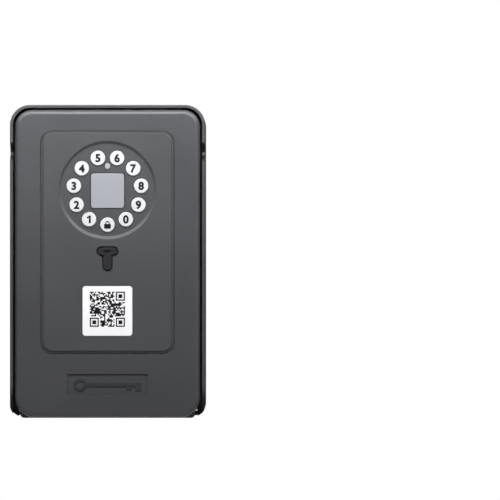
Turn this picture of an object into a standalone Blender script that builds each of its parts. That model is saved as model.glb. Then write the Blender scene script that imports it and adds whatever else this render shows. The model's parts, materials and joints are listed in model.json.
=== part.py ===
"""Wall-mounted key box with a keypad door, at rest: door shut, bolt withdrawn.

Metres, +Z up, the front faces -Y and the back lies on the wall plane y = 0.
Depths inside the door are given as a distance behind its front face.
"""

from math import acos, cos, pi, radians, sin, tan

import bmesh
import bpy

MM = 0.001

# Overall
WIDTH = 116 * MM
HEIGHT = 186 * MM
DEPTH = 56 * MM
GAP = 0.3 * MM  # between pieces that touch

# Case
CASE_LIFT = 0.5 * MM  # the door hangs this far below the case
CASE_TOP_R = 12 * MM
CASE_BOTTOM_R = 7 * MM
RIM = 1.8 * MM
RIM_SETBACK = 2.0 * MM
SIDE_WALL = 4.6 * MM
BACK_WALL = 2.5 * MM
BOTTOM_WALL = 2.5 * MM
SCOOP_H = 9 * MM
SCOOP_DEPTH = 6.5 * MM
FIXING_R = 2.4 * MM

# Door
DOOR_GAP = 1.3 * MM
DOOR_TOP_GAP = 3.0 * MM
DOOR_TOP_R = 10 * MM
DOOR_BOTTOM_R = 12 * MM
DOOR_EDGE_R = 3 * MM
DOOR_LIP = 10 * MM  # thickness of the door's full-size front part
DOOR_DEPTH = 26 * MM
DOOR_WALL = 2.0 * MM
DOOR_FRONT_WALL = 2.5 * MM
HOUSING_GAP = 1.4 * MM
HOUSING_DROP = 10 * MM
HOUSING_BOTTOM_R = 3.2 * MM
HINGE_R = 5 * MM
PIN_R = 1.5 * MM

# Centre panel
PANEL_SIDE = 15.2 * MM  # metal left beside the panel
PANEL_TOP = 12.5 * MM
PANEL_BOTTOM = 38.1 * MM
PANEL_R = 7.0 * MM
PANEL_GROOVE = 1.7 * MM  # from the door's opening to the raised part of the panel
PANEL_STEP = 0.8 * MM  # depth of the groove, where the panel's shoulder lies
PANEL_FLANGE = 2.5 * MM
PANEL_BACK = 4.5 * MM

# Keypad
DISH_TOP_GAP = 18.3 * MM  # from the door's top to the dish's edge
DISH_EDGE = 1.7 * MM  # width of the sloping wall round the dish
DISH_MARGIN = 3.05 * MM  # floor left outside the ring of keys
DISH_DEPTH = 1.4 * MM
PAD_DROP = 0.5 * MM  # the keys and the window sit this far below the dish's middle
KEY_R = 4.35 * MM
KEY_FLANGE = 0.8 * MM
KEY_SPACE = 1.08 * MM  # between the flanges of two keys
KEY_COUNT = 11
KEY_RISE = 0.8 * MM
KEY_TRAVEL = 0.6 * MM
WINDOW_W = 19.9 * MM
WINDOW_H = 20.7 * MM
WINDOW_R = 1.8 * MM
LIGHT_R = 1.8 * MM
LIGHT_RISE = 14.1 * MM

# Port, label and nameplate
PORT_DROP = 7.1 * MM  # from the dish's edge to the middle of the port
PORT_HEAD_W = 11.8 * MM
PORT_HEAD_H = 4.4 * MM
PORT_STEM_W = 5.0 * MM
PORT_STEM_H = 9.1 * MM
PORT_COVER_T = 1.3 * MM
PORT_GAP = 0.8 * MM
ROOT_R = 1.0 * MM
LABEL_DROP = 35.4 * MM  # from the middle of the port to that of the label
LABEL = 29.5 * MM
LABEL_R = 1.8 * MM
PLATE_RISE = 19.8 * MM  # above the door's bottom edge
PLATE_W = 47.8 * MM
PLATE_H = 12.8 * MM
SIGN_W = 40 * MM  # the raised key in the nameplate recess
SIGN_H = 7.6 * MM

# Lock, hooks and power
RAIL_Z = 30 * MM
BOLT_W = 12 * MM
BOLT_TRAVEL = 5 * MM
RACK_MODULE = 0.75 * MM
PINION_TEETH = 12
CELL_R = 5.25 * MM
CELL_L = 44.5 * MM

# Derived levels
TOP = HEIGHT / 2
BOTTOM = -HEIGHT / 2
DOOR_TOP = TOP - DOOR_TOP_GAP
DOOR_HALF = WIDTH / 2 - RIM - DOOR_GAP
INNER_HALF = WIDTH / 2 - SIDE_WALL
HOUSING_HALF = INNER_HALF - HOUSING_GAP
HOUSING_TOP = DOOR_TOP - HOUSING_DROP
CAVITY_HALF = HOUSING_HALF - DOOR_WALL
CAVITY_TOP = HOUSING_TOP - DOOR_WALL
KEY_PITCH = 2 * (KEY_R + KEY_FLANGE) + KEY_SPACE
KEY_RING_R = KEY_PITCH / 2 / sin(pi / KEY_COUNT)
DISH_FLOOR_R = KEY_RING_R + KEY_R + DISH_MARGIN
DISH_R = DISH_FLOOR_R + DISH_EDGE
DISH_Z = DOOR_TOP - DISH_TOP_GAP - DISH_R
PAD_Z = DISH_Z - PAD_DROP
PORT_Z = DISH_Z - DISH_R - PORT_DROP
PORT_END_Z = PORT_Z - PORT_HEAD_H / 2 - PORT_STEM_H
PORT_HINGE_Z = PORT_END_Z + PORT_STEM_W / 2 + GAP / 2
ROOT_Z = PORT_END_Z + ROOT_R + GAP
LABEL_Z = PORT_Z - LABEL_DROP
PANEL_HALF = DOOR_HALF - PANEL_SIDE
PANEL_Z0 = BOTTOM + PANEL_BOTTOM
PANEL_Z1 = DOOR_TOP - PANEL_TOP
HINGE_Z = BOTTOM + HINGE_R
HINGE_IN = DOOR_DEPTH - HINGE_R
KEY_BACK = PANEL_BACK + GAP
BOARD_IN = 7.6 * MM
BOARD_T = 1.6 * MM
COVER_IN = DOOR_DEPTH - 2.3 * MM
COVER_T = 2.0 * MM
COVER_Z0 = HINGE_Z + HINGE_R
PITCH_R = RACK_MODULE * PINION_TEETH / 2
PINION_IN = 14.5 * MM
BOLT_IN = PINION_IN + PITCH_R - 0.65 * RACK_MODULE
BOLT_OUT = COVER_IN - 0.5 * MM
PINION_Z = CAVITY_TOP - 18 * MM
TRAY_Z = BOTTOM + 42 * MM
CELL_PITCH = 2 * CELL_R + 0.6 * MM
CELL_IN = COVER_IN - CELL_R - 2.35 * MM


def inward(distance):
    """The y of a depth measured from the door's front face towards the wall."""
    return -DEPTH + distance


# Outlines, as (u, v) pairs


def circle(u, v, r, steps=20):
    return [
        (u + r * cos(2 * pi * i / steps), v + r * sin(2 * pi * i / steps))
        for i in range(steps)
    ]


def box(u0, u1, v0, v1):
    return [(u0, v0), (u1, v0), (u1, v1), (u0, v1)]


def round_box(u0, u1, v0, v1, r_low, r_high=None, steps=6):
    """A rectangle with one radius for its two low corners and one for its two high ones."""
    r_high = r_low if r_high is None else r_high
    corners = (
        (u1 - r_low, v0 + r_low, r_low, -90),
        (u1 - r_high, v1 - r_high, r_high, 0),
        (u0 + r_high, v1 - r_high, r_high, 90),
        (u0 + r_low, v0 + r_low, r_low, 180),
    )
    points = []
    for u, v, r, start in corners:
        for i in range(steps + 1):
            turn = radians(start + 90 * i / steps)
            points.append((u + r * cos(turn), v + r * sin(turn)))
    return points


def shrunk_box(u0, u1, v0, v1, r_low, r_high, inset, steps=6):
    return round_box(
        u0 + inset,
        u1 - inset,
        v0 + inset,
        v1 - inset,
        max(r_low - inset, 0.2 * MM),
        max(r_high - inset, 0.2 * MM),
        steps,
    )


# Solids


def collection(name, helper=False):
    made = bpy.data.collections.new(name)
    made.hide_render = helper
    bpy.context.scene.collection.children.link(made)
    return made


def solid(name, rings, where, origin=(0, 0, 0)):
    """A closed body through rings of equal length, capped at both ends."""
    mesh = bpy.data.meshes.new(name)
    work = bmesh.new()
    rows = []
    for ring in rings:
        rows.append([work.verts.new([p[i] - origin[i] for i in range(3)]) for p in ring])
    for low, high in zip(rows, rows[1:]):
        for i in range(len(low)):
            j = (i + 1) % len(low)
            work.faces.new((low[i], low[j], high[j], high[i]))
    work.faces.new(rows[0])
    work.faces.new(rows[-1])
    bmesh.ops.recalc_face_normals(work, faces=work.faces)
    work.to_mesh(mesh)
    work.free()
    made = bpy.data.objects.new(name, mesh)
    made.location = origin
    where.objects.link(made)
    if where.hide_render:
        made.hide_render = True
        made.display_type = "WIRE"
    return made


def along_y(name, outline, y0, y1, where, origin=(0, 0, 0)):
    rings = [[(x, y, z) for x, z in outline] for y in (y0, y1)]
    return solid(name, rings, where, origin)


def along_x(name, outline, x0, x1, where, origin=(0, 0, 0)):
    rings = [[(x, y, z) for y, z in outline] for x in (x0, x1)]
    return solid(name, rings, where, origin)


def along_z(name, outline, z0, z1, where, origin=(0, 0, 0)):
    rings = [[(x, y, z) for x, y in outline] for z in (z0, z1)]
    return solid(name, rings, where, origin)


def turned(name, profile, axis, centre, where, origin=(0, 0, 0), steps=20):
    """A round body from (radius, distance along the axis) pairs."""
    rings = []
    for r, s in profile:
        ring = []
        for u, v in circle(0, 0, r, steps):
            offset = {"x": (s, u, v), "y": (u, s, v), "z": (u, v, s)}[axis]
            ring.append([centre[i] + offset[i] for i in range(3)])
        rings.append(ring)
    return solid(name, rings, where, origin)


def combine(target, other, operation):
    step = target.modifiers.new(other.name, "BOOLEAN")
    step.operation = operation
    step.solver = "EXACT"
    step.object = other


def cut(target, other):
    combine(target, other, "DIFFERENCE")


def join(target, other):
    combine(target, other, "UNION")


def paint(target, look):
    target.data.materials.append(look)
    return target


def look(name, colour, metallic, roughness):
    made = bpy.data.materials.new(name)
    made.use_nodes = True
    made.diffuse_color = (*colour, 1)
    shader = made.node_tree.nodes["Principled BSDF"]
    shader.inputs["Base Color"].default_value = (*colour, 1)
    shader.inputs["Metallic"].default_value = metallic
    shader.inputs["Roughness"].default_value = roughness
    return made


def clear_scene():
    for old in list(bpy.data.objects):
        bpy.data.objects.remove(old)


# Case


def case_outline(inset=0.0):
    return shrunk_box(
        -WIDTH / 2,
        WIDTH / 2,
        BOTTOM + CASE_LIFT,
        TOP,
        CASE_BOTTOM_R,
        CASE_TOP_R,
        inset,
        8,
    )


def back_case():
    front = inward(RIM_SETBACK)
    levels = (
        (front, 0.6),
        (front + 0.2 * MM, 0.25),
        (front + 0.7 * MM, 0),
        (-0.8 * MM, 0),
        (0, 0.8),
    )
    rings = [[(x, y, z) for x, z in case_outline(e * MM)] for y, e in levels]
    case = solid("back_case", rings, PARTS)
    door_room = along_y(
        "door_room",
        round_box(
            -WIDTH / 2 + RIM,
            WIDTH / 2 - RIM,
            BOTTOM - 20 * MM,
            TOP - RIM,
            1 * MM,
            CASE_TOP_R - RIM,
            8,
        ),
        front - 5 * MM,
        inward(DOOR_LIP + 1.5 * MM),
        CUTTERS,
    )
    housing_room = along_y(
        "housing_room",
        round_box(
            -INNER_HALF, INNER_HALF, BOTTOM - 20 * MM, TOP - SIDE_WALL, 1 * MM, 6 * MM
        ),
        front - 5 * MM,
        inward(DOOR_DEPTH + 0.7 * MM),
        CUTTERS,
    )
    key_room = along_y(
        "key_room",
        round_box(
            -INNER_HALF,
            INNER_HALF,
            BOTTOM + CASE_LIFT + BOTTOM_WALL,
            TOP - SIDE_WALL,
            4 * MM,
            6 * MM,
        ),
        front - 5 * MM,
        -BACK_WALL,
        CUTTERS,
    )
    for cutter in (door_room, housing_room, key_room):
        cut(case, cutter)
    cut(case, scoops())
    for i, (x, z) in enumerate(fixing_points()):
        hole = turned(
            f"fixing_hole_{i}",
            (
                (FIXING_R, 1 * MM),
                (FIXING_R, -BACK_WALL + 1 * MM),
                (FIXING_R + 2 * MM, -BACK_WALL - 1 * MM),
            ),
            "y",
            (x, 0, z),
            CUTTERS,
        )
        cut(case, hole)
    for side in (-1, 1):
        cut(case, screw_hole(f"strike_hole_{side}", strike_screw_at(side), "z", 1))
        rail_x, _, rail_z = rail_screw_at(side)
        pad = turned(
            f"rail_pad_{side}",
            ((3.5 * MM, -1 * MM), (3.5 * MM, -BACK_WALL - 3.0 * MM)),
            "y",
            (rail_x, 0, rail_z),
            CUTTERS,
        )
        join(case, pad)
        cut(case, screw_hole(f"rail_hole_{side}", rail_screw_at(side), "y", 1))
        pin_hole = turned(
            f"pin_hole_{side}",
            ((PIN_R + 0.25 * MM, 0), (PIN_R + 0.25 * MM, side * 6 * MM)),
            "x",
            (side * (INNER_HALF - 3.9 * MM), inward(HINGE_IN), HINGE_Z),
            CUTTERS,
        )
        cut(case, pin_hole)
    return paint(case, LOOKS["case_paint"])


def scoops():
    """One bar across both side rims, so that a finger can reach the door's edge."""
    middle = DISH_Z + 22.8 * MM
    half = SCOOP_H / 2
    front = inward(RIM_SETBACK)
    outline = [
        (front - 2 * MM, middle - half - 1.5 * MM),
        (front, middle - half - 0.6 * MM),
        (front + 0.25 * SCOOP_DEPTH, middle - half + 0.7 * MM),
        (front + 0.75 * SCOOP_DEPTH, middle - half + 1.6 * MM),
        (front + SCOOP_DEPTH, middle - half + 3.0 * MM),
        (front + SCOOP_DEPTH, middle + half - 3.0 * MM),
        (front + 0.75 * SCOOP_DEPTH, middle + half - 1.6 * MM),
        (front + 0.25 * SCOOP_DEPTH, middle + half - 0.7 * MM),
        (front, middle + half + 0.6 * MM),
        (front - 2 * MM, middle + half + 1.5 * MM),
    ]
    return along_x("scoops", outline, -WIDTH, WIDTH, CUTTERS)


def fixing_points():
    x = WIDTH / 2 - 20 * MM
    z = HEIGHT / 2 - 22 * MM
    return ((-x, -z), (x, -z), (-x, z), (x, z))


def strike_screw_at(side):
    """The underside of the strike's flange, where the screw's head sits."""
    return (side * 14 * MM, inward(BOLT_IN + 3 * MM), TOP - SIDE_WALL - GAP - 1.7 * MM)


def rail_screw_at(side):
    return (side * 34 * MM, -BACK_WALL - 3.0 * MM - GAP - 1.5 * MM, RAIL_Z)


def screw_hole(name, at, axis, way):
    reach = 6.4 * MM
    profile = ((1.45 * MM, 0.2 * MM), (1.45 * MM, way * reach))
    return turned(name, profile, axis, at, CUTTERS, steps=12)


def pan_screw(name, at, axis, length, flip=1):
    """A screw whose head lies before the point and whose shank runs along the axis."""
    profile = (
        (1.0 * MM, -0.8 * MM),
        (1.0 * MM, -1.6 * MM),
        (2.1 * MM, -1.6 * MM),
        (2.7 * MM, -1.1 * MM),
        (2.7 * MM, -GAP),
        (1.2 * MM, -GAP),
        (1.2 * MM, length),
    )
    made = turned(
        name, [(r, flip * s) for r, s in profile], axis, at, PARTS, steps=12
    )
    return paint(made, LOOKS["steel"])


def strike_plate():
    flange_top = TOP - SIDE_WALL - GAP
    lip_end = HOUSING_TOP + 1.0 * MM
    lip_front = BOLT_IN - 4.0 * MM
    lip_back = BOLT_IN - 0.7 * MM
    outline = [
        (inward(lip_front), lip_end),
        (inward(lip_back), lip_end),
        (inward(lip_back), flange_top - 1.7 * MM),
        (inward(BOLT_OUT + 1 * MM), flange_top - 1.7 * MM),
        (inward(BOLT_OUT + 1 * MM), flange_top),
        (inward(lip_front), flange_top),
    ]
    strike = along_x("strike_plate", outline, -20 * MM, 20 * MM, PARTS)
    for side in (-1, 1):
        hole = turned(
            f"strike_clear_{side}",
            ((1.6 * MM, -1 * MM), (1.6 * MM, 3 * MM)),
            "z",
            strike_screw_at(side),
            CUTTERS,
            steps=12,
        )
        cut(strike, hole)
        pan_screw(
            f"strike_screw_{'left' if side < 0 else 'right'}",
            strike_screw_at(side),
            "z",
            5.4 * MM,
        )
    return paint(strike, LOOKS["steel"])


def key_rail():
    back = -BACK_WALL - 3.0 * MM - GAP
    face = back - 1.5 * MM
    rail = along_y(
        "key_rail",
        round_box(-40 * MM, 40 * MM, RAIL_Z - 6 * MM, RAIL_Z + 6 * MM, 2 * MM),
        face,
        back,
        PARTS,
    )
    hook = [
        (face + 0.7 * MM, RAIL_Z - 2.0 * MM),
        (face + 0.7 * MM, RAIL_Z - 4.2 * MM),
        (face - 7.0 * MM, RAIL_Z - 4.2 * MM),
        (face - 9.2 * MM, RAIL_Z - 2.6 * MM),
        (face - 9.2 * MM, RAIL_Z + 3.0 * MM),
        (face - 7.4 * MM, RAIL_Z + 3.0 * MM),
        (face - 7.4 * MM, RAIL_Z - 1.6 * MM),
        (face - 6.4 * MM, RAIL_Z - 2.4 * MM),
    ]
    for i, x in enumerate((-24, -8, 8, 24)):
        join(
            rail,
            along_x(f"hook_{i}", hook, (x - 1.2) * MM, (x + 1.2) * MM, CUTTERS),
        )
    for side in (-1, 1):
        x, y, z = rail_screw_at(side)
        hole = turned(
            f"rail_clear_{side}",
            ((1.6 * MM, -2 * MM), (1.6 * MM, 3 * MM)),
            "y",
            (x, y, z),
            CUTTERS,
            steps=12,
        )
        cut(rail, hole)
        pan_screw(
            f"rail_screw_{'left' if side < 0 else 'right'}", (x, y, z), "y", 5.4 * MM
        )
    return paint(rail, LOOKS["steel"])


def hinge_pin():
    half = INNER_HALF + 1.8 * MM
    profile = (
        (PIN_R - 0.4 * MM, -half),
        (PIN_R, -half + 0.5 * MM),
        (PIN_R, half - 0.5 * MM),
        (PIN_R - 0.4 * MM, half),
    )
    pin = turned("hinge_pin", profile, "x", (0, inward(HINGE_IN), HINGE_Z), PARTS)
    return paint(pin, LOOKS["steel"])


def case_seal():
    """A rubber strip on the case's step, round the door's top and sides."""
    front = inward(DOOR_LIP + GAP)
    back = inward(DOOR_LIP + 1.5 * MM - GAP)
    seal = along_y(
        "case_seal",
        round_box(
            -WIDTH / 2 + RIM + GAP,
            WIDTH / 2 - RIM - GAP,
            HINGE_Z,
            TOP - RIM - GAP,
            0.5 * MM,
            CASE_TOP_R - RIM - GAP,
            8,
        ),
        front,
        back,
        PARTS,
    )
    inside = along_y(
        "seal_inside",
        round_box(
            -INNER_HALF - GAP,
            INNER_HALF + GAP,
            BOTTOM - 20 * MM,
            TOP - SIDE_WALL + GAP,
            1 * MM,
            CASE_TOP_R - SIDE_WALL,
            8,
        ),
        front - 2 * MM,
        back + 2 * MM,
        CUTTERS,
    )
    cut(seal, inside)
    return paint(seal, LOOKS["rubber"])


# Door


def door_shell():
    rings = []
    for i in range(6):
        turn = radians(90 * i / 5)
        inset = DOOR_EDGE_R * (1 - sin(turn))
        y = inward(DOOR_EDGE_R * (1 - cos(turn)))
        outline = shrunk_box(
            -DOOR_HALF, DOOR_HALF, BOTTOM, DOOR_TOP, DOOR_BOTTOM_R, DOOR_TOP_R, inset, 8
        )
        rings.append([(x, y, z) for x, z in outline])
    rings.append([(p[0], inward(DOOR_LIP), p[2]) for p in rings[-1]])
    shell = solid("door_shell", rings, PARTS)
    housing = along_y(
        "housing",
        round_box(
            -HOUSING_HALF, HOUSING_HALF, BOTTOM, HOUSING_TOP, HOUSING_BOTTOM_R, 6 * MM, 8
        ),
        inward(DOOR_FRONT_WALL + 1 * MM),
        inward(DOOR_DEPTH),
        CUTTERS,
    )
    join(shell, housing)
    cavity = along_y(
        "cavity",
        round_box(-CAVITY_HALF, CAVITY_HALF, COVER_Z0, CAVITY_TOP, 3 * MM, 4 * MM),
        inward(DOOR_FRONT_WALL),
        inward(DOOR_DEPTH + 5 * MM),
        CUTTERS,
    )
    cut(shell, cavity)
    for i, (x, z) in enumerate(cover_screws()):
        boss = turned(
            f"boss_{i}",
            ((3.5 * MM, inward(1.5 * MM)), (3.5 * MM, inward(COVER_IN - GAP))),
            "y",
            (x, 0, z),
            CUTTERS,
        )
        join(shell, boss)
        web = along_y(
            f"boss_web_{i}",
            box(*sorted((x, x + (4.5 * MM if x > 0 else -4.5 * MM))), z - MM, z + MM),
            inward(1.5 * MM),
            inward(COVER_IN - GAP),
            CUTTERS,
        )
        join(shell, web)
        pilot = turned(
            f"pilot_{i}",
            (
                (1.45 * MM, inward(COVER_IN - 9 * MM)),
                (1.45 * MM, inward(COVER_IN + 1 * MM)),
            ),
            "y",
            (x, 0, z),
            CUTTERS,
            steps=12,
        )
        cut(shell, pilot)
    opening = along_y(
        "panel_opening",
        panel_outline(0),
        inward(-1 * MM),
        inward(DOOR_FRONT_WALL + 1 * MM),
        CUTTERS,
    )
    flange_room = along_y(
        "flange_room",
        panel_outline(-PANEL_FLANGE - GAP),
        inward(DOOR_FRONT_WALL),
        inward(PANEL_BACK + GAP),
        CUTTERS,
    )
    plate = PLATE_RISE + BOTTOM
    nameplate = along_y(
        "nameplate_recess",
        round_box(
            -PLATE_W / 2,
            PLATE_W / 2,
            plate - PLATE_H / 2,
            plate + PLATE_H / 2,
            0.8 * MM,
            steps=3,
        ),
        inward(-1 * MM),
        inward(0.7 * MM),
        CUTTERS,
    )
    bolt_way = along_z(
        "bolt_way",
        box(
            -BOLT_W / 2 - GAP,
            BOLT_W / 2 + GAP,
            inward(BOLT_IN - GAP),
            inward(BOLT_OUT + GAP),
        ),
        CAVITY_TOP - 1 * MM,
        HOUSING_TOP + 1 * MM,
        CUTTERS,
    )
    pin_way = turned(
        "pin_way",
        ((PIN_R + 0.3 * MM, -WIDTH), (PIN_R + 0.3 * MM, WIDTH)),
        "x",
        (0, inward(HINGE_IN), HINGE_Z),
        CUTTERS,
    )
    for cutter in (opening, flange_room, nameplate, bolt_way, pin_way, knuckle()):
        cut(shell, cutter)
    for relief in key_sign(plate):
        join(shell, relief)
    return paint(shell, LOOKS["door_paint"])


def knuckle():
    """Takes the door's lower back edge down to a round one about the hinge."""
    outline = [(inward(DOOR_DEPTH + 2 * MM), HINGE_Z)]
    for i in range(9):
        turn = radians(-90 * i / 8)
        y = inward(HINGE_IN) + HINGE_R * cos(turn)
        outline.append((y, HINGE_Z + HINGE_R * sin(turn)))
    outline.append((inward(HINGE_IN), BOTTOM - 2 * MM))
    outline.append((inward(DOOR_DEPTH + 2 * MM), BOTTOM - 2 * MM))
    return along_x("knuckle", outline, -WIDTH, WIDTH, CUTTERS)


def key_sign(z):
    """A plain raised key lying in the nameplate recess."""
    y0 = inward(0.3 * MM)
    y1 = inward(0.9 * MM)
    bow_x = -SIGN_W / 2 + SIGN_H / 2
    end = SIGN_W / 2
    bow = along_y("sign_bow", circle(bow_x, z, SIGN_H / 2), y0, y1, CUTTERS)
    eye_outline = circle(bow_x, z, 0.27 * SIGN_H, 16)
    eye = along_y("sign_eye", eye_outline, y0 - MM, inward(0.6 * MM), CUTTERS)
    cut(bow, eye)
    bar = 0.15 * SIGN_H
    bit = SIGN_H / 2
    tooth = 2.4 * MM
    outline = [
        (bow_x + 0.85 * bit, z - bar),
        (end - 3.6 * tooth, z - bar),
        (end - 3.6 * tooth, z - 0.85 * bit),
        (end - 2.6 * tooth, z - 0.85 * bit),
        (end - 2.6 * tooth, z - bar),
        (end - 1.4 * tooth, z - bar),
        (end - 1.4 * tooth, z - bit),
        (end, z - bit),
        (end, z + bar),
        (bow_x + 0.85 * bit, z + bar),
    ]
    shaft = along_y("sign_shaft", outline, y0, y1, CUTTERS)
    return bow, shaft


def cover_screws():
    x = CAVITY_HALF - 3.9 * MM
    low = COVER_Z0 + 6 * MM
    high = CAVITY_TOP - 6 * MM
    return [(s * x, z) for z in (low, (low + high) / 2, high) for s in (-1, 1)]


def panel_outline(inset):
    return shrunk_box(
        -PANEL_HALF, PANEL_HALF, PANEL_Z0, PANEL_Z1, PANEL_R, PANEL_R, inset
    )


def centre_panel():
    levels = (
        (0, PANEL_GROOVE + 0.3 * MM),
        (0.3 * MM, PANEL_GROOVE),
        (PANEL_STEP, PANEL_GROOVE - 0.2 * MM),
        (PANEL_STEP, GAP),
        (DOOR_FRONT_WALL + 0.8 * MM, GAP),
    )
    rings = [
        [(x, inward(t), z) for x, z in panel_outline(inset)] for t, inset in levels
    ]
    panel = solid("centre_panel", rings, PARTS)
    flange = along_y(
        "panel_flange",
        panel_outline(-PANEL_FLANGE),
        inward(DOOR_FRONT_WALL + GAP),
        inward(PANEL_BACK),
        CUTTERS,
    )
    join(panel, flange)
    dish = turned(
        "dish",
        (
            (DISH_FLOOR_R, inward(DISH_DEPTH)),
            (DISH_R - 0.6 * MM, inward(0.3 * MM)),
            (DISH_R + 0.1 * MM, inward(-0.05 * MM)),
            (DISH_R + 0.1 * MM, inward(-1 * MM)),
        ),
        "y",
        (0, 0, DISH_Z),
        CUTTERS,
        steps=56,
    )
    cut(panel, dish)
    for name, x, z in key_places():
        hole = along_y(
            f"{name}_hole",
            circle(x, z, KEY_R + GAP),
            inward(-1 * MM),
            inward(PANEL_BACK + 1 * MM),
            CUTTERS,
        )
        cut(panel, hole)
    window_hole = along_y(
        "window_hole",
        window_outline(-0.45 * MM),
        inward(-1 * MM),
        inward(PANEL_BACK + 1 * MM),
        CUTTERS,
    )
    light_hole = along_y(
        "light_hole",
        circle(0, DISH_Z + LIGHT_RISE, LIGHT_R + GAP),
        inward(-1 * MM),
        inward(PANEL_BACK + 1 * MM),
        CUTTERS,
    )
    half = LABEL / 2 + 0.35 * MM
    label_recess = along_y(
        "label_recess",
        round_box(
            -half, half, LABEL_Z - half, LABEL_Z + half, LABEL_R + 0.35 * MM, steps=4
        ),
        inward(-1 * MM),
        inward(0.45 * MM),
        CUTTERS,
    )
    port_way = along_y(
        "port_way",
        round_box(
            -4.9 * MM, 4.9 * MM, PORT_Z - 2.1 * MM, PORT_Z + 2.1 * MM, 2.0 * MM, steps=4
        ),
        inward(-1 * MM),
        inward(PANEL_BACK + 1 * MM),
        CUTTERS,
    )
    root_hole = along_y(
        "root_hole",
        circle(0, ROOT_Z, ROOT_R + GAP, 12),
        inward(-1 * MM),
        inward(PANEL_BACK + 1 * MM),
        CUTTERS,
    )
    port_recess = along_y(
        "port_recess",
        port_outline(PORT_GAP),
        inward(-1 * MM),
        inward(PORT_COVER_T + GAP),
        CUTTERS,
    )
    for cutter in (
        window_hole,
        light_hole,
        label_recess,
        port_recess,
        port_way,
        root_hole,
    ):
        cut(panel, cutter)
    return paint(panel, LOOKS["panel_plastic"])


def port_outline(grow, z_low=None):
    """The T of the port cover, grown all round, and cut off level at z_low if given."""
    head_r = PORT_HEAD_H / 2 + grow
    head_u = PORT_HEAD_W / 2 - PORT_HEAD_H / 2
    stem = PORT_STEM_W / 2 + grow
    fillet = 0.8 * MM
    join_z = PORT_Z - head_r
    low = PORT_Z - PORT_HEAD_H / 2 - PORT_STEM_H
    points = []
    for i in range(9):
        turn = radians(90 - 180 * i / 8)
        points.append((head_u + head_r * cos(turn), PORT_Z + head_r * sin(turn)))
    points.append((stem + fillet, join_z))
    points.append((stem + 0.25 * fillet, join_z - 0.25 * fillet))
    points.append((stem, join_z - fillet))
    if z_low is None:
        end_r = PORT_STEM_W / 2
        centre = low + end_r
        for i in range(9):
            turn = radians(-180 * i / 8)
            r = end_r + grow
            points.append((r * cos(turn), centre + r * sin(turn)))
    else:
        points.append((stem, z_low))
        points.append((-stem, z_low))
    points.append((-stem, join_z - fillet))
    points.append((-stem - 0.25 * fillet, join_z - 0.25 * fillet))
    points.append((-stem - fillet, join_z))
    for i in range(9):
        turn = radians(270 - 180 * i / 8)
        points.append((-head_u + head_r * cos(turn), PORT_Z + head_r * sin(turn)))
    return points


def port_cover():
    """The lifting part of the rubber cover, turning where its stem bends."""
    origin = (0, inward(0), PORT_HINGE_Z)
    outline = port_outline(0, PORT_HINGE_Z + GAP / 2)
    cover = along_y(
        "port_cover", outline, inward(0), inward(PORT_COVER_T), PARTS, origin
    )
    plug = along_y(
        "port_plug",
        round_box(
            -3.8 * MM, 3.8 * MM, PORT_Z - 1.0 * MM, PORT_Z + 1.0 * MM, 0.9 * MM, steps=3
        ),
        inward(PORT_COVER_T - 0.3 * MM),
        inward(PORT_COVER_T + 1.0 * MM),
        CUTTERS,
    )
    slot = along_y(
        "port_slot",
        round_box(
            -2.15 * MM, 2.15 * MM, PORT_Z - 0.6 * MM, PORT_Z + 0.6 * MM, 0.5 * MM, steps=3
        ),
        inward(-1 * MM),
        inward(0.7 * MM),
        CUTTERS,
    )
    join(cover, plug)
    cut(cover, slot)
    paint(cover, LOOKS["rubber"])
    half = PORT_STEM_W / 2
    root_outline = []
    for i in range(9):
        turn = radians(-180 * i / 8)
        root_outline.append((half * cos(turn), PORT_END_Z + half * (1 + sin(turn))))
    root = along_y(
        "port_cover_root", root_outline, inward(0), inward(PORT_COVER_T), PARTS
    )
    stalk = along_y(
        "root_stalk",
        circle(0, ROOT_Z, ROOT_R, 12),
        inward(PORT_COVER_T - 0.3 * MM),
        inward(PANEL_BACK - 0.5 * MM),
        CUTTERS,
    )
    join(root, stalk)
    paint(root, LOOKS["rubber"])


def key_places():
    """Name and place of each key, clockwise from the padlock key at the bottom."""
    names = ["lock", 1, 2, 3, 4, 5, 6, 7, 8, 9, 0]
    places = []
    for i in range(KEY_COUNT):
        turn = radians(-90) - 2 * pi * i / KEY_COUNT
        label = names[i] if i < len(names) else f"extra_{i}"
        places.append(
            (f"key_{label}", KEY_RING_R * cos(turn), PAD_Z + KEY_RING_R * sin(turn))
        )
    return places


def keys():
    face = DISH_DEPTH - KEY_RISE
    profile = (
        (KEY_R - 0.45 * MM, inward(face)),
        (KEY_R - 0.12 * MM, inward(face + 0.12 * MM)),
        (KEY_R, inward(face + 0.45 * MM)),
        (KEY_R, inward(KEY_BACK)),
        (KEY_R + KEY_FLANGE, inward(KEY_BACK)),
        (KEY_R + KEY_FLANGE, inward(KEY_BACK + 0.8 * MM)),
    )
    for name, x, z in key_places():
        origin = (x, inward(face), z)
        paint(
            turned(name, profile, "y", (x, 0, z), PARTS, origin), LOOKS["key_plastic"]
        )


def window_outline(inset):
    return shrunk_box(
        -WINDOW_W / 2,
        WINDOW_W / 2,
        PAD_Z - WINDOW_H / 2,
        PAD_Z + WINDOW_H / 2,
        WINDOW_R,
        WINDOW_R,
        inset,
        4,
    )


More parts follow.
